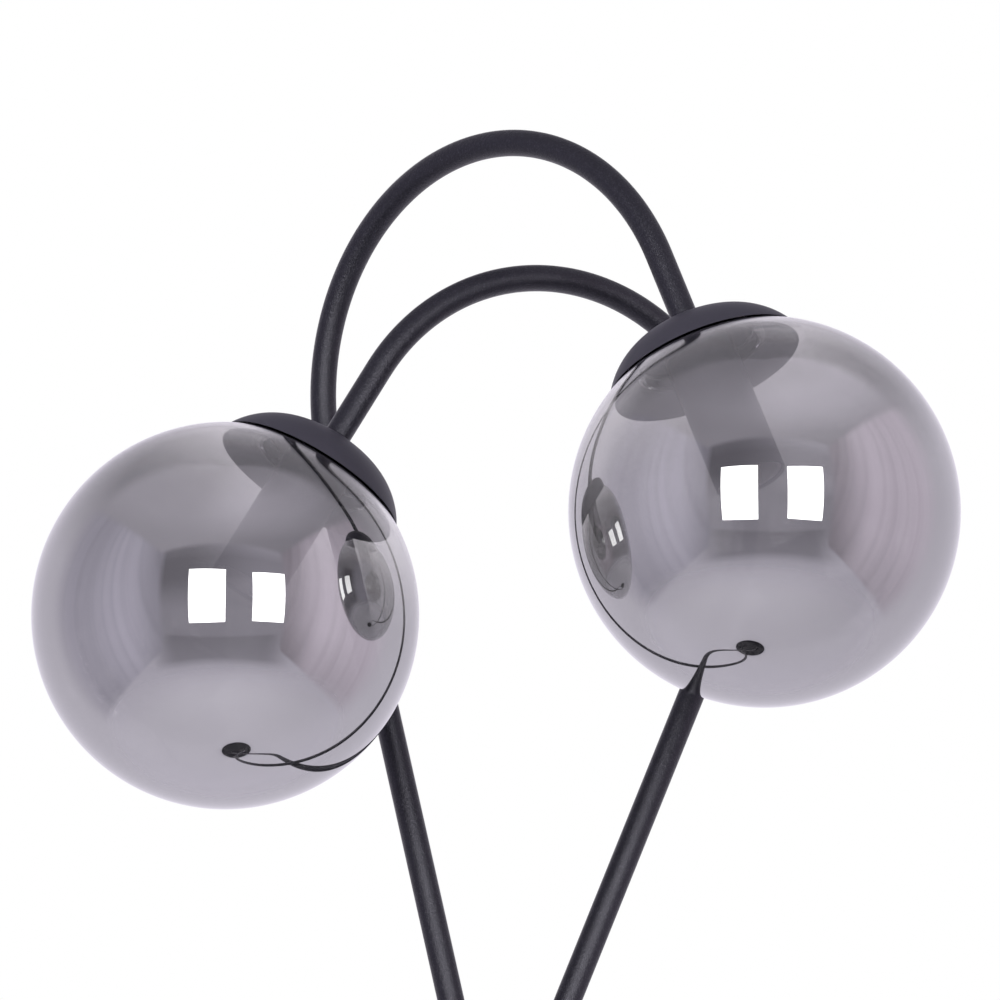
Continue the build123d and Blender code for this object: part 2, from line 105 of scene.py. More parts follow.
# Base
base_radius = 150.0 * MM
base_height = 24.5 * MM
cover_wall = 1.5 * MM
cover_edge_radius = 7.0 * MM
pad_radius = 140.0 * MM
pad_thickness = 3.0 * MM
pad_edge_radius = 0.6 * MM
flange_radius = 10.0 * MM
flange_height = 4.0 * MM
flange_edge_radius = 1.0 * MM
flange_top = base_height + flange_height
foot_stud_end = 13.4 * MM

# Where the tubes start, on the flanges of their foot studs
feet = {
    "tall": Vector((-67.0, 8.45, 28.5)) * MM,
    "low": Vector((67.0, -8.45, 28.5)) * MM,
}

# Courses of the tubes from the foot up, in mm and degrees: (run,) or (radius, angle, heading)
courses = {
    "tall": [
        (43.5,),
        (1075.0, 20.4, 0.0),
        (1075.0, 20.4, 180.0),
        (550.0, 13.94, 154.63),
        (570.1,),
        (126.34, 170.16, -42.31),
        (38.95,),
    ],
    "low": [
        (43.5,),
        (912.0, 22.1, 180.0),
        (912.0, 22.1, 0.0),
        (694.0, 22.89, 17.04),
        (430.4,),
        (120.87, 171.20, -150.75),
        (44.01,),
    ],
}

# How finely round shapes are divided
tube_sides = 48
turned_sides = 96
wide_sides = 192
globe_sides = 176
lug_steps = 16
thread_steps = 64
bend_steps_least = 64
arc_steps_least = 3
degrees_per_step = 1.8

# How edges are merged, rounded and smoothed, with angles in degrees
merge_distance = 0.01 * MM
sharp_angle = 40.0
smooth_angle = 35.0
edge_segments = 2
sheet_edge_break = 0.25 * MM
cover_edge_break = 0.3 * MM
body_edge_break = 0.4 * MM


# Node helpers

def add_node(tree, kind, values=None, links=None, **settings):
    """A node with its settings, its plain values and the sockets that feed it."""
    node = tree.nodes.new(kind)
    for name, value in settings.items():
        setattr(node, name, value)
    for socket, value in (values or {}).items():
        node.inputs[socket].default_value = value
    for socket, source in (links or {}).items():
        tree.links.new(source, node.inputs[socket])
    return node


def math_node(tree, operation, first, second=None):
    """A Math node, each side of which is a socket or a number."""
    node = tree.nodes.new("ShaderNodeMath")
    node.operation = operation
    for place, side in enumerate((first, second)):
        if side is None:
            continue
        if isinstance(side, (int, float)):
            node.inputs[place].default_value = side
        else:
            tree.links.new(side, node.inputs[place])
    return node.outputs[0]


def map_range(tree, value, low, high, to_low=0.0, to_high=1.0, smooth=True):
    """A clamped change from one value to another, smooth or straight."""
    node = add_node(
        tree,
        "ShaderNodeMapRange",
        {"From Min": low, "From Max": high, "To Min": to_low, "To Max": to_high},
        {"Value": value},
        clamp=True,
        interpolation_type="SMOOTHSTEP" if smooth else "LINEAR",
    )
    return node.outputs["Result"]


def mix_colour(tree, share, first, second):
    """Blends two colours, each a socket or a triple, by a share that is a socket."""
    node = tree.nodes.new("ShaderNodeMix")
    node.data_type = "RGBA"
    tree.links.new(share, node.inputs[0])
    for place, side in ((6, first), (7, second)):
        if isinstance(side, tuple):
            node.inputs[place].default_value = (*side, 1.0)
        else:
            tree.links.new(side, node.inputs[place])
    return node.outputs[2]


def tint_colour(tree, colour, tint):
    """A colour or shade from a socket, times a plain tint."""
    node = add_node(tree, "ShaderNodeVectorMath", {1: tint}, {0: colour}, operation="MULTIPLY")
    return node.outputs["Vector"]


def scale_colour(tree, colour, amount):
    """A colour times an amount, both from sockets."""
    node = add_node(tree, "ShaderNodeVectorMath", {}, {0: colour, "Scale": amount}, operation="SCALE")
    return node.outputs["Vector"]


def start_group(name, inputs, outputs):
    """A shader node group with named number or vector sockets."""
    group = bpy.data.node_groups.new(name, "ShaderNodeTree")
    kinds = {"number": "NodeSocketFloat", "vector": "NodeSocketVector"}
    for socket, kind in inputs:
        group.interface.new_socket(socket, in_out="INPUT", socket_type=kinds[kind])
    for socket, kind in outputs:
        group.interface.new_socket(socket, in_out="OUTPUT", socket_type=kinds[kind])
    source = group.nodes.new("NodeGroupInput")
    target = group.nodes.new("NodeGroupOutput")
    return group, source, target


# Grain of the opaque finishes: its noises, how much coarser the second is and how much it counts,
# and the parts of the noise that become flecks and clouds
fine_noise = {"Detail": 2.0, "Roughness": 0.55}
coarse_noise = {"Detail": 1.0, "Roughness": 0.5}
cloud_noise = {"Detail": 3.0, "Roughness": 0.5}
cloud_scale = 9.0
coarse_scale_share = 0.37
coarse_height_share = 0.8
fleck_band = (0.52, 0.72)
cloud_band = (0.3, 0.7)


def make_surface_grain():
    """Fine grain of a coated, cast or moulded surface: a height, flecks and slow cloudy changes."""
    group, source, target = start_group(
        "surface_grain",
        [("Place", "vector"), ("Grain Scale", "number"), ("Cloud Scale", "number")],
        [("Height", "number"), ("Flecks", "number"), ("Clouds", "number")],
    )
    grain_scale = source.outputs["Grain Scale"]
    coarse_scale = math_node(group, "MULTIPLY", grain_scale, coarse_scale_share)
    noises = []
    for settings, scale in (
        (fine_noise, grain_scale),
        (coarse_noise, coarse_scale),
        (cloud_noise, source.outputs["Cloud Scale"]),
    ):
        links = {"Vector": source.outputs["Place"], "Scale": scale}
        noises.append(add_node(group, "ShaderNodeTexNoise", settings, links).outputs[0])
    fine, coarse, cloud = noises
    coarse_height = math_node(group, "MULTIPLY", coarse, coarse_height_share)
    height = math_node(group, "ADD", fine, coarse_height)
    group.links.new(height, target.inputs["Height"])
    group.links.new(map_range(group, fine, *fleck_band), target.inputs["Flecks"])
    group.links.new(map_range(group, cloud, *cloud_band), target.inputs["Clouds"])
    return group


surface_grain = make_surface_grain()


def start_material(name):
    """A material with its Principled shader, and the Object coordinates that its patterns read."""
    material = bpy.data.materials.new(name)
    material.use_nodes = True
    tree = material.node_tree
    shader = tree.nodes["Principled BSDF"]
    place = add_node(tree, "ShaderNodeTexCoord").outputs["Object"]
    return material, tree, shader, place


def make_grained(name, base, fleck, rough, grain_scale, grain_depth, constants):
    """An opaque finish: flecked colour, cloudy gloss between two roughnesses, and a grain in relief."""
    material, tree, shader, place = start_material(name)
    grain = add_node(
        tree,
        "ShaderNodeGroup",
        {"Grain Scale": grain_scale, "Cloud Scale": cloud_scale},
        {"Place": place},
        node_tree=surface_grain,
    )
    colour = mix_colour(tree, grain.outputs["Flecks"], base, fleck)
    gloss = map_range(tree, grain.outputs["Clouds"], 0.0, 1.0, *rough, smooth=False)
    bump = add_node(
        tree,
        "ShaderNodeBump",
        {"Strength": 1.0, "Distance": grain_depth},
        {"Height": grain.outputs["Height"]},
    )
    tree.links.new(colour, shader.inputs["Base Color"])
    tree.links.new(gloss, shader.inputs["Roughness"])
    tree.links.new(bump.outputs["Normal"], shader.inputs["Normal"])
    for socket, value in constants.items():
        shader.inputs[socket].default_value = value
    return material


# Opaque finishes: colour, colour of the flecks, two roughnesses, scale and depth of the grain,
# and what else is set on the shader
opaque_finishes = {
    "black_powder_coat": (
        (0.0036, 0.0035, 0.0070), (0.027, 0.026, 0.037), (0.30, 0.36), 1700.0, 0.21 * MM,
        {"Specular IOR Level": 0.36, "Specular Tint": (0.91, 0.89, 1.0, 1.0)},
    ),
    "matt_black_cap": (
        (0.031, 0.029, 0.041), (0.042, 0.040, 0.054), (0.44, 0.52), 2600.0, 0.02 * MM,
        {"Specular IOR Level": 0.21, "Specular Tint": (0.93, 0.90, 1.0, 1.0)},
    ),
    "cast_iron": (
        (0.060, 0.058, 0.057), (0.110, 0.105, 0.100), (0.60, 0.78), 420.0, 0.3 * MM,
        {"Metallic": 0.7},
    ),
    "zinc_steel": (
        (0.52, 0.53, 0.55), (0.62, 0.62, 0.60), (0.26, 0.40), 900.0, 0.02 * MM,
        {"Metallic": 1.0},
    ),
    "black_rubber": (
        (0.016, 0.016, 0.017), (0.026, 0.026, 0.027), (0.62, 0.74), 1400.0, 0.05 * MM,
        {},
    ),
    "felt": (
        (0.022, 0.022, 0.024), (0.055, 0.054, 0.056), (0.92, 1.0), 1700.0, 0.6 * MM,
        {"Sheen Weight": 0.35},
    ),
    "white_plastic": (
        (0.76, 0.75, 0.72), (0.80, 0.79, 0.77), (0.30, 0.40), 1100.0, 0.01 * MM,
        {},
    ),
    "brass": (
        (0.66, 0.47, 0.20), (0.74, 0.55, 0.27), (0.22, 0.36), 1000.0, 0.02 * MM,
        {"Metallic": 1.0},
    ),
    "lead_sheath": (
        (0.020, 0.020, 0.021), (0.032, 0.032, 0.033), (0.40, 0.50), 900.0, 0.02 * MM,
        {},
    ),
}
finishes = {name: make_grained(name, *values) for name, values in opaque_finishes.items()}

# Smoked glass. Heights run along the globe's axis from its centre to the neck, in radii.
glass_index = 1.45
clear_glass_colour = (0.96, 0.96, 0.96, 1.0)
smoke_tint = (1.0, 0.95, 1.02)

# The share of light that passes at the far pole, the equator and the neck, the height at which the
# smoke starts to clear, and the heights between which it thickens towards the far pole
# The low globe lets less light pass at the equator than the tall one: painted shade for the darker backdrop behind
# the low globe.
globe_smoke_and_shade = {"tall": (0.11, 0.28, 0.92, 0.05), "low": (0.10, 0.15, 0.95, 0.02)}
thick_smoke = (-0.5, -0.05)

# The mirror film: its weight at the far pole and at the neck, its index, and where the weight changes
globe_film = {"tall": (1.0, 0.2, 4.05), "low": (1.0, 0.2, 4.4)}
film_fade = (-0.05, 1.0)


def start_glass(name):
    """A material of clear, polished glass."""
    material, tree, shader, place = start_material(name)
    shader.inputs["Base Color"].default_value = clear_glass_colour
    shader.inputs["Roughness"].default_value = 0.0
    shader.inputs["IOR"].default_value = glass_index
    shader.inputs["Transmission Weight"].default_value = 1.0
    return material, tree, shader, place


def make_smoked_glass(arm, head):
    """Glass whose smoke thins and whose mirror film fades from the far pole of the globe up to its neck."""
    material, tree, shader, place = start_glass(f"{arm}_smoked_glass")
    axis = head.to_3x3().col[2] / globe_radius
    along = add_node(tree, "ShaderNodeVectorMath", {1: axis}, {0: place}, operation="DOT_PRODUCT")
    height = math_node(tree, "SUBTRACT", along.outputs["Value"], axis.dot(head.translation))
    # Each globe has its own smoke; the low globe's darker smoke is painted shade, not a different glass.
    pole, equator, neck, clearing = globe_smoke_and_shade[arm]
    above = map_range(tree, height, clearing, 1.0, equator, neck)
    below = map_range(tree, height, *thick_smoke, pole / equator, 1.0)
    shade = math_node(tree, "POWER", math_node(tree, "MULTIPLY", above, below), 2.0)
    tree.links.new(tint_colour(tree, shade, smoke_tint), shader.inputs["Base Color"])
    pole_film, neck_film, film_index = globe_film[arm]
    film = map_range(tree, height, *film_fade, pole_film, neck_film)
    tree.links.new(film, shader.inputs["Coat Weight"])
    shader.inputs["Coat IOR"].default_value = film_index
    shader.inputs["Coat Roughness"].default_value = 0.0
    return material


# Modelling helpers

def leave_edit_mode():
    if bpy.context.object.mode != "OBJECT":
        bpy.ops.object.mode_set(mode="OBJECT")


def merge_and_face_outward():
    """Merges the doubles of the open mesh and turns its normals outward."""
    bpy.ops.mesh.select_all(action="SELECT")
    bpy.ops.mesh.remove_doubles(threshold=merge_distance)
    bpy.ops.mesh.normals_make_consistent(inside=False)


def draw_profile(name, start, moves):
    """A line in the XZ plane, left open in edit mode.

    A move is a point (r, z), or an arc (centre r, centre z, turn in degrees), anticlockwise when positive.
    """
    bpy.ops.object.select_all(action="DESELECT")
    bpy.ops.mesh.primitive_plane_add(size=MM)
    piece = bpy.context.object
    piece.name = name
    piece.data.name = name
    bpy.ops.object.mode_set(mode="EDIT")
    bpy.ops.mesh.select_all(action="SELECT")
    bpy.ops.mesh.merge(type="CENTER")
    r, z = start
    bpy.ops.transform.translate(value=(r, 0.0, z))
    for move in moves:
        if len(move) == 2:
            bpy.ops.mesh.extrude_region_move(
                TRANSFORM_OT_translate={"value": (move[0] - r, 0.0, move[1] - z)}
            )
            r, z = move
            continue
        centre_r, centre_z, turn = move
        steps = max(arc_steps_least, round(abs(turn) / degrees_per_step))
        bpy.ops.mesh.spin(
            steps=steps, angle=radians(turn), center=(centre_r, 0.0, centre_z), axis=(0.0, 1.0, 0.0)
        )
        reach_r, reach_z = r - centre_r, z - centre_z
        r = centre_r + reach_r * cos(radians(turn)) - reach_z * sin(radians(turn))
        z = centre_z + reach_r * sin(radians(turn)) + reach_z * cos(radians(turn))
    return piece


def turn_profile(sides):
    """Spins the open profile once about the Z axis and closes its seam and poles."""
    bpy.ops.mesh.select_all(action="SELECT")
    bpy.ops.mesh.spin(
        steps=sides, angle=2 * pi, center=(0.0, 0.0, 0.0), axis=(0.0, 0.0, 1.0), use_auto_merge=True
    )
    merge_and_face_outward()


def give_wall(piece, thickness, inside_slot=0):
    """Thickens a shell inwards."""
    leave_edit_mode()
    wall = piece.modifiers.new("wall", "SOLIDIFY")
    wall.thickness = thickness
    wall.offset = -1.0
    wall.use_even_offset = True
    wall.material_offset = inside_slot
    bpy.ops.object.modifier_apply(modifier=wall.name)


def break_edges(piece, width):
    """Rounds the sharp edges."""
    leave_edit_mode()
    edges = piece.modifiers.new("edges", "BEVEL")
    edges.width = width
    edges.segments = edge_segments
    edges.limit_method = "ANGLE"
    edges.angle_limit = radians(sharp_angle)
    bpy.ops.object.modifier_apply(modifier=edges.name)


def set_in_place(piece, place, finish, body, *nodes):
    """Moves a finished mesh to its place, gives it its finish and puts it on its body for its CAD nodes."""
    leave_edit_mode()
    piece.matrix_world = place
    bpy.ops.object.transform_apply(location=True, rotation=True, scale=True)
    bpy.ops.object.shade_smooth_by_angle(angle=radians(smooth_angle))
    if finish in finishes:
        piece.data.materials.append(finishes[finish])
    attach(piece, body)
    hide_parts(*nodes)


def bend_tube(arm):
    """A round tube that follows its course up from the base."""
    bpy.ops.object.select_all(action="DESELECT")
    bpy.ops.mesh.primitive_circle_add(
        vertices=tube_sides, radius=tube_radius, fill_type="NOTHING", location=feet[arm]
    )
    piece = bpy.context.object
    piece.name = f"{arm}_bent_tube"
    piece.data.name = piece.name
    bpy.ops.object.transform_apply(location=True, rotation=True, scale=True)
    bpy.ops.object.mode_set(mode="EDIT")
    bpy.ops.mesh.select_all(action="SELECT")
    point = feet[arm].copy()
    along = Vector((0.0, 0.0, 1.0))
    for step in courses[arm]:
        if len(step) == 1:
            run = along * step[0] * MM
            bpy.ops.mesh.extrude_region_move(TRANSFORM_OT_translate={"value": run})
            point += run
            continue
        radius, angle, heading = step[0] * MM, radians(step[1]), radians(step[2])
        east, north = cos(heading), sin(heading)
        side = Vector((east, north, -(east * along.x + north * along.y) / along.z)).normalized()
        centre = point + side * radius
        steps = max(bend_steps_least, round(step[1] / degrees_per_step))
        bpy.ops.mesh.spin(steps=steps, angle=angle, center=centre, axis=side.cross(along))
        point = centre + (along * sin(angle) - side * cos(angle)) * radius
        along = along * cos(angle) + side * sin(angle)
    merge_and_face_outward()
    give_wall(piece, tube_wall)
    set_in_place(piece, Matrix.Identity(4), "black_powder_coat", "stand", f"{arm}_tube")


def cap_wall_line(inset):
    """One side of the cap's wall: rim point, centre of the edge's arc, and the turns of edge and dome."""
    edge_radius = cap_edge_radius - inset
    dome_radius = cap_dome_radius - inset
    lift = cap_dome_radius - cap_edge_radius
    centre_r = lift * sin(radians(cap_edge_start))
    centre_z = dome_centre + lift * cos(radians(cap_edge_start))
    reach = hypot(centre_r, centre_z)
    along = (cap_rim_radius**2 - edge_radius**2 + reach**2) / (2 * reach)
    aside = sqrt(cap_rim_radius**2 - along**2)
    rim_r = (centre_r * along + centre_z * aside) / reach
    rim_z = (centre_z * along - centre_r * aside) / reach
    rim_turn = degrees(atan2(rim_r - centre_r, rim_z - centre_z))
    seat_turn = degrees(acos((cap_top - inset - dome_centre) / dome_radius))
    return (rim_r, rim_z), (centre_r, centre_z), rim_turn - cap_edge_start, cap_edge_start - seat_turn


def spin_cap(arm, head):
    """The spun cap: a rim close over the glass, a round edge, a shallow dome and a flat seat."""
    rim, edge_centre, edge_turn, dome_turn = cap_wall_line(0.0)
    _, inner_centre, inner_edge_turn, inner_dome_turn = cap_wall_line(cap_wall)
    cap_underside = cap_top - cap_wall
    inner_seat_radius = sqrt((cap_dome_radius - cap_wall) ** 2 - (cap_underside - dome_centre) ** 2)
    piece = draw_profile(
        f"{arm}_spun_cap",
        rim,
        [
            (*edge_centre, edge_turn),
            (0.0, dome_centre, dome_turn),
            (stud_hole_radius, cap_top),
            (stud_hole_radius, cap_underside),
            (inner_seat_radius, cap_underside),
            (0.0, dome_centre, -inner_dome_turn),
            (*inner_centre, -inner_edge_turn),
            rim,
        ],
    )
    turn_profile(wide_sides)
    break_edges(piece, sheet_edge_break)
    set_in_place(piece, head, "matt_black_cap", "stand", f"{arm}_cap")


def form_lug(arm, lug, finish):
    """One of the lugs that hold a globe in its gallery."""
    lug_inside = neck_radius - glass_wall / 2
    lug_outside = neck_radius + lug_depth
    lug_low = neck_root + lug_rise
    piece = draw_profile(
        f"{arm}_lug_{lug}",
        (lug_inside, lug_low),
        [
            (lug_outside, lug_low),
            (lug_outside, lug_low + lug_height),
            (lug_inside, lug_low + lug_height),
            (lug_inside, lug_low),
        ],
    )
    bpy.ops.mesh.select_all(action="SELECT")
    bpy.ops.mesh.remove_doubles(threshold=merge_distance)
    bpy.ops.mesh.edge_face_add()
    bpy.ops.mesh.spin(
        steps=lug_steps, angle=radians(lug_arc), center=(0.0, 0.0, 0.0), axis=(0.0, 0.0, 1.0)
    )
    bpy.ops.mesh.select_all(action="SELECT")
    bpy.ops.mesh.normals_make_consistent(inside=False)
    leave_edit_mode()
    start = radians(lug * 360.0 / lug_count + lug_arc / 2)
    piece.matrix_world = Matrix.Rotation(start, 4, "Z")
    bpy.ops.object.transform_apply(location=True, rotation=True, scale=True)
    piece.data.materials.append(finish)
    return piece


def blow_globe(arm, head):
    """The glass globe: sphere and neck in one wall, smoked outside and clear inside, with its lugs."""
    shoulder_turn = 90.0 + degrees(asin(neck_root / globe_radius))
    piece = draw_profile(
        f"{arm}_glass_globe",
        (0.0, -globe_radius),
        [
            (0.0, 0.0, shoulder_turn),
            (neck_radius, neck_top),
        ],
    )
    turn_profile(globe_sides)
    leave_edit_mode()
    outside = make_smoked_glass(arm, head)
    inside = start_glass(f"{arm}_smoked_glass_inside")[0]
    piece.data.materials.append(outside)
    piece.data.materials.append(inside)
    give_wall(piece, glass_wall, inside_slot=1)
    lugs = [form_lug(arm, lug, outside) for lug in range(lug_count)]
    bpy.ops.object.select_all(action="DESELECT")
    for lug in lugs:
        lug.select_set(True)
    piece.select_set(True)
    bpy.context.view_layer.objects.active = piece
    bpy.ops.object.join()
    set_in_place(piece, head, "smoked_glass", f"{arm}_globe", f"{arm}_globe")


def turn_head_stud(arm, head):
    """The hollow stud between tube and lampholder, with the rounded collar that shows on the cap."""
    round_r = collar_radius - collar_edge_radius
    piece = draw_profile(
        f"{arm}_collar_stud",
        (stud_bore_radius, head_stud_end),
        [
            (stud_radius, head_stud_end),
            (stud_radius, cap_top),
            (collar_radius, cap_top),
            (collar_radius, collar_top - collar_edge_radius),
            (round_r, collar_top - collar_edge_radius, 90.0),
            (spigot_radius, collar_top),
            (spigot_radius, collar_top + spigot_length),
            (stud_bore_radius, collar_top + spigot_length),
            (stud_bore_radius, head_stud_end),
        ],
    )
    turn_profile(turned_sides)
    set_in_place(piece, head, "black_powder_coat", "stand", f"{arm}_head_stud")


def draw_sleeve(arm, head):
    """The lampholder's metal sleeve, drawn as a cup with a rounded shoulder."""
    round_r = sleeve_radius - sleeve_edge_radius
    piece = draw_profile(
        f"{arm}_drawn_sleeve",
        (sleeve_radius, sleeve_low),
        [
            (sleeve_radius, sleeve_top - sleeve_edge_radius),
            (round_r, sleeve_top - sleeve_edge_radius, 90.0),
            (stud_hole_radius, sleeve_top),
        ],
    )
    turn_profile(turned_sides)
    give_wall(piece, sleeve_wall)
    break_edges(piece, sheet_edge_break)
    set_in_place(piece, head, "black_powder_coat", "stand", f"{arm}_holder_sleeve")


def mould_body(arm, head):
    """The lampholder's moulded body, with its deep bore."""
    piece = draw_profile(
        f"{arm}_moulded_body",
        (0.0, body_top),
        [
            (body_radius, body_top),
            (body_radius, body_low),
            (body_bore_radius, body_low),
            (body_bore_radius, body_ceiling),
            (0.0, body_ceiling),
        ],
    )
    turn_profile(turned_sides)
    break_edges(piece, body_edge_break)
    set_in_place(piece, head, "white_plastic", "stand", f"{arm}_holder_body")


def roll_screw_shell(arm, head):
    """The brass screw shell with its rolled thread, wound from one pitch and cut to length."""
    shell_low = body_ceiling - shell_height
    start = shell_low - thread_pitch
    flank = shell_radius - thread_depth / 2
    root = shell_radius - thread_depth
    quarter = thread_pitch / 4
    piece = draw_profile(
        f"{arm}_rolled_shell",
        (shell_radius, start),
        [
            (flank, start + quarter),
            (root, start + 2 * quarter),
            (flank, start + 3 * quarter),
            (shell_radius, shell_low),
        ],
    )
    leave_edit_mode()
    thread = piece.modifiers.new("thread", "SCREW")
    thread.axis = "Z"
    thread.steps = thread_steps
    thread.render_steps = thread_steps
    thread.screw_offset = thread_pitch
    thread.iterations = thread_turns
    thread.use_merge_vertices = True
    bpy.ops.object.modifier_apply(modifier=thread.name)
    bpy.ops.object.mode_set(mode="EDIT")
    for level, above in ((shell_low, False), (body_ceiling, True)):
        bpy.ops.mesh.select_all(action="SELECT")
        bpy.ops.mesh.bisect(
            plane_co=(0.0, 0.0, level), plane_no=(0.0, 0.0, 1.0),
            clear_inner=not above, clear_outer=above,
        )
    merge_and_face_outward()
    give_wall(piece, shell_wall)
    set_in_place(piece, head, "brass", "stand", f"{arm}_screw_shell")


def press_cover():
    """The base's pressed cover: an upright edge, a rounded shoulder and a flat top."""
    round_r = base_radius - cover_edge_radius
    round_z = base_height - cover_edge_radius
    piece = draw_profile(
        "pressed_cover",
        (base_radius, pad_thickness),
        [
            (base_radius, round_z),
            (round_r, round_z, 90.0),
            (0.0, base_height),
        ],
    )
    turn_profile(wide_sides)
    give_wall(piece, cover_wall)
    break_edges(piece, cover_edge_break)
    set_in_place(piece, Matrix.Identity(4), "black_powder_coat", "stand", "base_cover")


def cut_pad():
    """The felt pad under the base."""
    piece = draw_profile(
        "felt_pad",
        (0.0, 0.0),
        [
            (pad_radius - pad_edge_radius, 0.0),
            (pad_radius - pad_edge_radius, pad_edge_radius, 90.0),
            (pad_radius, pad_thickness),
            (0.0, pad_thickness),
        ],
    )
    turn_profile(turned_sides)
    set_in_place(piece, Matrix.Identity(4), "felt", "stand", "base_pad")


def turn_foot_stud(arm):
    """The hollow stud in a tube's foot, with the rounded flange that shows on the base."""
    round_r = flange_radius - flange_edge_radius
    piece = draw_profile(
        f"{arm}_flange_stud",
        (stud_bore_radius, foot_stud_end),
        [
            (stud_radius, foot_stud_end),
            (stud_radius, base_height),
            (flange_radius, base_height),
            (flange_radius, flange_top - flange_edge_radius),
            (round_r, flange_top - flange_edge_radius, 90.0),
            (spigot_radius, flange_top),
            (spigot_radius, flange_top + spigot_length),
            (stud_bore_radius, flange_top + spigot_length),
            (stud_bore_radius, foot_stud_end),
        ],
    )
    turn_profile(turned_sides)
    place = Matrix.Translation((feet[arm].x, feet[arm].y, 0.0))
    set_in_place(piece, place, "black_powder_coat", "stand", f"{arm}_foot_stud")


def find_head(arm):
    """The frame of a head: its origin is the globe's centre, and its Z axis runs up to the cap."""
    joint = next(j for j in frame["joints"] if j["child"] == f"{arm}_globe")
    down = Vector(joint["axis"]).normalized()
    across = down.cross(Vector((0.0, 1.0, 0.0))).normalized()
    forward = (-down).cross(across)
    turned = Matrix((across, forward, -down)).transposed().to_4x4()
    return Matrix.Translation(joint["pos_m"]) @ turned


# Pieces of the lamp
for arm in ("tall", "low"):
    head = find_head(arm)
    bend_tube(arm)
    turn_foot_stud(arm)
    turn_head_stud(arm, head)
    spin_cap(arm, head)
    blow_globe(arm, head)
    draw_sleeve(arm, head)
    mould_body(arm, head)
    roll_screw_shell(arm, head)
press_cover()
cut_pad()

# Finishes of the CAD nodes that stay as they are
for row in frame["record"]["subparts"]:
    node = frame["nodes"][row["node"]]
    if row["material_slot"] in finishes:
        node.data.materials.clear()
        node.data.materials.append(finishes[row["material_slot"]])

# Floor: its colour in the picture, the painted colour that only the globes mirror, the painted glow that the
# globes mirror from front to rear, and the radii over which it gives way to the room in the globes and to white in
# the picture
floor_radius = 40.0
floor_sides = 96
floor_drop = 0.5 * MM
floor_roughness = 0.9
floor_colour = (0.86, 0.86, 0.86)
mirrored_floor_painted_colour = (0.82, 0.785, 0.87)
mirrored_floor_glow_tint = (1.0, 0.94, 1.15, 1.0)
mirrored_floor_painted_glow = (0.17, 0.33)
mirrored_floor_depth = (-0.5, 0.9)
mirrored_floor_fade = (0.9, 2.3)
seen_floor_fade = (0.8, 4.5)


def make_floor():
    """A wide pale floor, of which the globes mirror only the part around the lamp, with a painted colour and a
    painted glow that is brightest behind it.
    """
    bpy.ops.object.select_all(action="DESELECT")
    bpy.ops.mesh.primitive_circle_add(
        vertices=floor_sides, radius=floor_radius, fill_type="TRIFAN", location=(0.0, 0.0, -floor_drop)
    )
    floor = bpy.context.object
    floor.name = "studio_floor"
    material, tree, shader, place = start_material("pale_floor")
    shader.inputs["Roughness"].default_value = floor_roughness
    shader.inputs["Specular IOR Level"].default_value = 0.0
    # Only glossy rays see the painted colour and the painted glow, so the floor is mirrored brighter than it is
    # lit.
    shader.inputs["Emission Color"].default_value = mirrored_floor_glow_tint
    rays = add_node(tree, "ShaderNodeLightPath").outputs
    mirrored = rays["Is Glossy Ray"]
    colour = mix_colour(tree, mirrored, floor_colour, mirrored_floor_painted_colour)
    tree.links.new(colour, shader.inputs["Base Color"])
    depth = add_node(tree, "ShaderNodeSeparateXYZ", {}, {"Vector": place}).outputs["Y"]
    glow = map_range(tree, depth, *mirrored_floor_depth, *mirrored_floor_painted_glow)
    tree.links.new(math_node(tree, "MULTIPLY", mirrored, glow), shader.inputs["Emission Strength"])
    reach = add_node(tree, "ShaderNodeVectorMath", {}, {0: place}, operation="LENGTH").outputs["Value"]
    mirror_fade = math_node(tree, "MULTIPLY", mirrored, map_range(tree, reach, *mirrored_floor_fade))
    view_fade = math_node(tree, "MULTIPLY", rays["Is Camera Ray"], map_range(tree, reach, *seen_floor_fade))
    fade = math_node(tree, "ADD", mirror_fade, view_fade)
    clear = add_node(tree, "ShaderNodeBsdfTransparent")
    surface = add_node(
        tree, "ShaderNodeMixShader", {}, {0: fade, 1: shader.outputs[0], 2: clear.outputs[0]}
    )
    tree.links.new(surface.outputs[0], tree.nodes["Material Output"].inputs["Surface"])
    floor.data.materials.append(material)


make_floor()

# Softboxes, each a place and an aim: a plain light, and a brighter sheen that only glossy surfaces
# show. The fill lights only matt surfaces.
softbox_size = (0.65, 0.95)
softbox_radiance = 4.5
sheen_radiance = 26.0
softboxes = {
    "left": ((-0.353, -1.80, 1.48), (-0.05, 0.0, 1.43)),
    "right": ((0.79, -1.80, 1.48), (0.10, 0.0, 1.43)),
}
fill_place = (-1.6, -1.2, 2.9)
fill_aim = (0.1, 0.0, 1.5)
fill_size = (1.2, 1.2)
fill_radiance = 6.0


def add_softbox(name, place, aim, size, radiance, diffuse=True, glossy=True):
    """A soft lamp that the camera doesn't see, and that lights matt surfaces, glossy ones or both."""
    width, height = size
    data = bpy.data.lights.new(name, "AREA")
    data.shape = "RECTANGLE"
    data.size = width
    data.size_y = height
    data.energy = radiance * pi * width * height
    lamp = bpy.data.objects.new(name, data)
    bpy.context.scene.collection.objects.link(lamp)
    lamp.location = place
    lamp.rotation_mode = "QUATERNION"
    lamp.rotation_quaternion = (Vector(aim) - Vector(place)).to_track_quat("-Z", "Y")
    lamp.visible_camera = False
    lamp.visible_diffuse = diffuse
    lamp.visible_glossy = glossy
    lamp.visible_transmission = glossy


for side, (place, aim) in softboxes.items():
    add_softbox(f"{side}_softbox", place, aim, softbox_size, softbox_radiance)
    add_softbox(f"{side}_sheen", place, aim, softbox_size, sheen_radiance, diffuse=False)
add_softbox("upper_left_fill", fill_place, fill_aim, fill_size, fill_radiance, glossy=False)

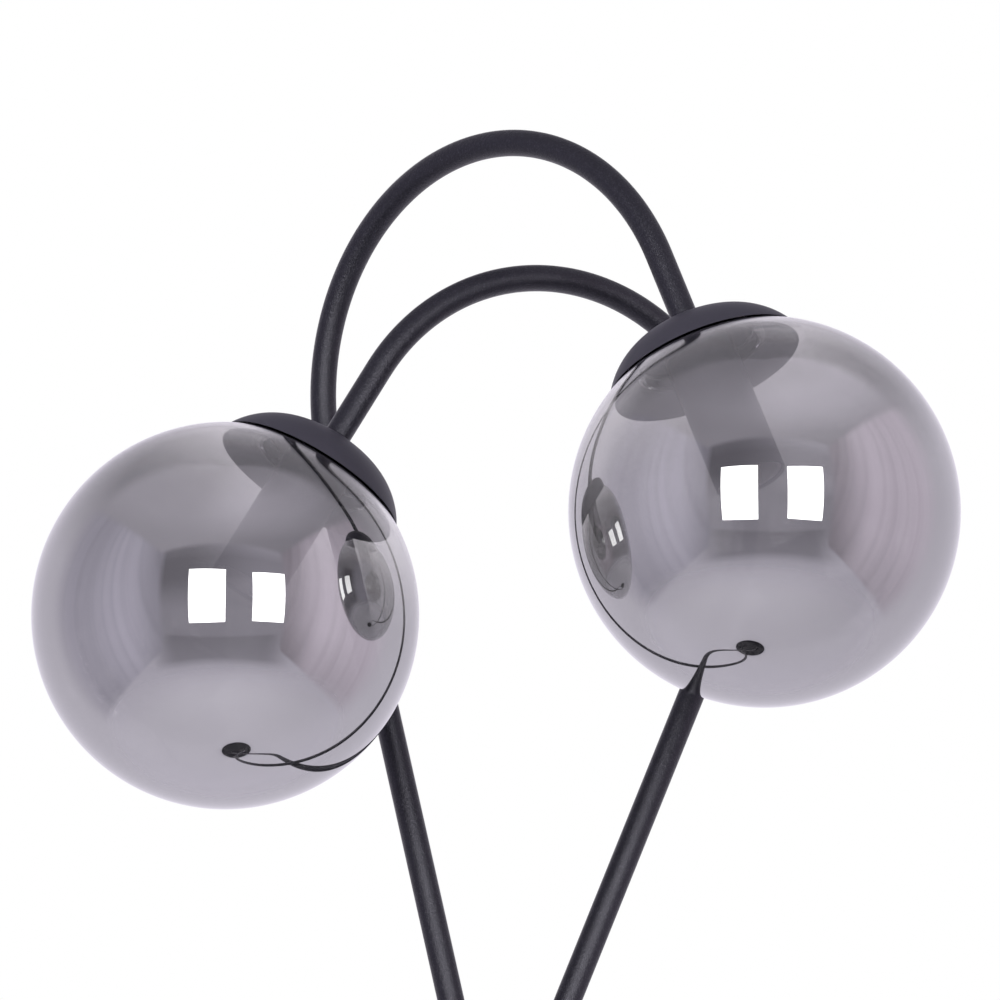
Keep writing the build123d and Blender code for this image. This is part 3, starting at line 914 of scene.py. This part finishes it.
# The room that the globes mirror: half its width by its depth towards the camera, and its light at
# stops of elevation. Angles are in degrees. A bearing is 0 towards the camera and grows to the right.
room_half_width = 0.79
room_tint = (1.0, 0.95, 1.08)
white = (1.0, 1.0, 1.0)

# Wall towards the camera, and how its upper part brightens to the right
wall_stops = [(-25, 0.46), (-5, 0.47), (5, 0.40), (15, 0.30), (26, 0.28), (36, 0.38)]
wall_tint = (1.0, 0.99, 1.02)
wall_lit_bearing = (-24, 32)
wall_lit_level = (0.85, 1.7)
wall_lit_rise = (-4, 14)

# Side walls: stops, tint, bearing of the corner, bearing of full light, light in the corner and at the rear
left_stops = [(-33, 0.72), (-22, 0.79), (-10, 0.82), (5, 0.79), (15, 0.76), (36, 0.68)]
right_stops = [(-33, 0.74), (-22, 0.84), (-10, 0.98), (10, 1.02), (25, 0.95), (36, 0.88)]
side_walls = [
    (left_stops, (1.0, 0.99, 1.05), -36.0, -58.0, 0.66, 0.80),
    (right_stops, (1.0, 0.935, 0.965), 38.0, 66.0, 0.54, 0.96),
]
side_fade_turn = (62, 88)
corner_spread = (0.95, 1.05)

# Soft upright bands on the side walls, closer together towards the top
band_middle = 84
band_rise = (-32, 34)
band_spread = (0.9, 1.5)
band_offset = 3.7
band_noise = {"Scale": 6.5, "Detail": 2.5, "Roughness": 0.55}
band_range = (0.34, 0.58)
band_level = (0.92, 1.02)

# Ceiling, brighter to the right
ceiling_stops = [(25, 0.46), (36, 0.51), (43, 0.64), (52, 0.78), (62, 0.84), (90, 0.54)]
left_ceiling_stops = [(25, 0.54), (40, 0.55), (52, 0.62), (70, 0.60), (90, 0.54)]
ceiling_tint = (1.0, 0.99, 1.0)
ceiling_rise = (32, 36)
left_ceiling_bearing = (24, -34)

# Floor beyond the part around the lamp, and where it meets the walls
far_floor_stops = [
    (-90, 1.10), (-65, 1.06), (-55, 1.02), (-45, 0.92), (-38, 0.76), (-33, 0.44), (-20, 0.36),
]
side_floor_stops = [(-90, 1.10), (-65, 0.98), (-50, 0.90), (-35, 0.82), (-20, 0.80)]
floor_tint = (1.0, 0.99, 1.02)
side_floor_turn = (28, 56)
floor_line_turn = (35, 39)
floor_line_rise = (-20, -31)
floor_line_width = 2.5

# Rear of the room
back_stops = [(-90, 1.10), (-50, 1.04), (-30, 0.92), (20, 0.84), (50, 0.42), (90, 0.42)]
back_turn = (100, 124)


def map_angle(tree, angle, start, end, first=0.0, last=1.0, smooth=True):
    """A change from one value to another between two angles in degrees."""
    return map_range(tree, angle, radians(start), radians(end), first, last, smooth)


def add_ramp(tree, level, stops, tint):
    """A colour ramp over a level from 0 to 1, with stops in degrees of elevation."""
    node = add_node(tree, "ShaderNodeValToRGB", {}, {"Fac": level})
    ramp = node.color_ramp
    while len(ramp.elements) < len(stops):
        ramp.elements.new(0.5)
    for stop, (angle, shade) in zip(ramp.elements, stops):
        stop.position = (angle + 90) / 180
        stop.color = (*(shade * part for part in tint), 1.0)
    return node.outputs["Color"]


def make_studio():
    """A box room by direction: a dim wall towards the camera, lighter sides, a pale ceiling and floor."""
    world = bpy.data.worlds.new("studio")
    bpy.context.scene.world = world
    world.use_nodes = True
    tree = world.node_tree
    tree.nodes.clear()
    direction = add_node(tree, "ShaderNodeTexCoord").outputs["Generated"]
    parts = add_node(tree, "ShaderNodeSeparateXYZ", {}, {"Vector": direction}).outputs
    towards = math_node(tree, "MULTIPLY", parts["Y"], -1.0)
    bearing = math_node(tree, "ARCTAN2", parts["X"], towards)
    turn = math_node(tree, "ABSOLUTE", bearing)
    elevation = math_node(tree, "ARCSINE", parts["Z"])
    level = map_angle(tree, elevation, -90, 90, smooth=False)
    # heights on the walls, so that the edges of the room run straight
    aside = math_node(tree, "DIVIDE", math_node(tree, "ABSOLUTE", parts["X"]), room_half_width)
    reach = math_node(tree, "MAXIMUM", aside, math_node(tree, "ABSOLUTE", towards))
    rise = math_node(tree, "ARCTAN2", parts["Z"], reach)
    wall_level = map_angle(tree, rise, -90, 90, smooth=False)

    wall = add_ramp(tree, wall_level, wall_stops, wall_tint)
    lit = map_angle(tree, bearing, *wall_lit_bearing, *wall_lit_level)
    gain = math_node(tree, "SUBTRACT", lit, 1.0)
    upper_gain = math_node(tree, "MULTIPLY", gain, map_angle(tree, rise, *wall_lit_rise))
    room = scale_colour(tree, wall, math_node(tree, "ADD", upper_gain, 1.0))

    spread = map_angle(tree, rise, *band_rise, *band_spread, smooth=False)
    across = math_node(tree, "SUBTRACT", turn, radians(band_middle))
    across = math_node(tree, "MULTIPLY", across, spread)
    side = math_node(tree, "MULTIPLY", math_node(tree, "SIGN", bearing), band_offset)
    band_place = add_node(tree, "ShaderNodeCombineXYZ", {}, {"X": across, "Y": side}).outputs[0]
    bands = add_node(tree, "ShaderNodeTexNoise", band_noise, {"Vector": band_place}).outputs[0]
    band_light = map_range(tree, bands, *band_range, *band_level)
    for stops, tint, corner, full, corner_light, rear_light in side_walls:
        light = map_angle(tree, bearing, corner, full, corner_light, 1.0)
        fading = map_angle(tree, turn, *side_fade_turn, 1.0, rear_light)
        light = math_node(tree, "MULTIPLY", light, math_node(tree, "MULTIPLY", fading, band_light))
        side_wall = scale_colour(tree, add_ramp(tree, wall_level, stops, tint), light)
        near, far = corner_spread
        share = map_angle(tree, bearing, corner * near, corner * far, smooth=False)
        room = mix_colour(tree, share, room, side_wall)

    right_ceiling = add_ramp(tree, level, ceiling_stops, ceiling_tint)
    left_ceiling = add_ramp(tree, level, left_ceiling_stops, ceiling_tint)
    leftward = map_angle(tree, bearing, *left_ceiling_bearing)
    ceiling = mix_colour(tree, leftward, right_ceiling, left_ceiling)
    room = mix_colour(tree, map_angle(tree, rise, *ceiling_rise), room, ceiling)

    far_floor = add_ramp(tree, level, far_floor_stops, floor_tint)
    side_floor = add_ramp(tree, level, side_floor_stops, floor_tint)
    floor = mix_colour(tree, map_angle(tree, turn, *side_floor_turn), far_floor, side_floor)
    line_ends = (radians(rise_end) for rise_end in floor_line_rise)
    floor_line = map_angle(tree, turn, *floor_line_turn, *line_ends, smooth=False)
    below = map_angle(tree, math_node(tree, "SUBTRACT", floor_line, rise), 0.0, floor_line_width)
    room = mix_colour(tree, below, room, floor)

    back = add_ramp(tree, level, back_stops, white)
    room = mix_colour(tree, map_angle(tree, turn, *back_turn), room, back)
    rays = add_node(tree, "ShaderNodeLightPath").outputs
    room = mix_colour(tree, rays["Is Glossy Ray"], room, tint_colour(tree, room, room_tint))
    seen = math_node(tree, "MAXIMUM", rays["Is Camera Ray"], rays["Is Transmission Ray"])
    shown = mix_colour(tree, seen, room, white)
    background = add_node(tree, "ShaderNodeBackground", {"Strength": 1.0}, {"Color": shown})
    add_node(tree, "ShaderNodeOutputWorld", {}, {"Surface": background.outputs[0]})


make_studio()

# Camera: in front of the lamp and below its globes, looking up by 10 degrees as in the photograph
camera_place = (0.022, -2.8652, 0.9671)
camera_tilt = 100.0
camera_lens = 196.56
camera_sensor = 36.0
camera_reach = 100.0
camera_data = bpy.data.cameras.new("camera")
camera_data.sensor_width = camera_sensor
camera_data.lens = camera_lens
camera_data.clip_end = camera_reach
camera = bpy.data.objects.new("camera", camera_data)
bpy.context.scene.collection.objects.link(camera)
camera.location = camera_place
camera.rotation_euler = (radians(camera_tilt), 0.0, 0.0)
bpy.context.scene.camera = camera
bpy.context.scene.view_settings.view_transform = "Standard"
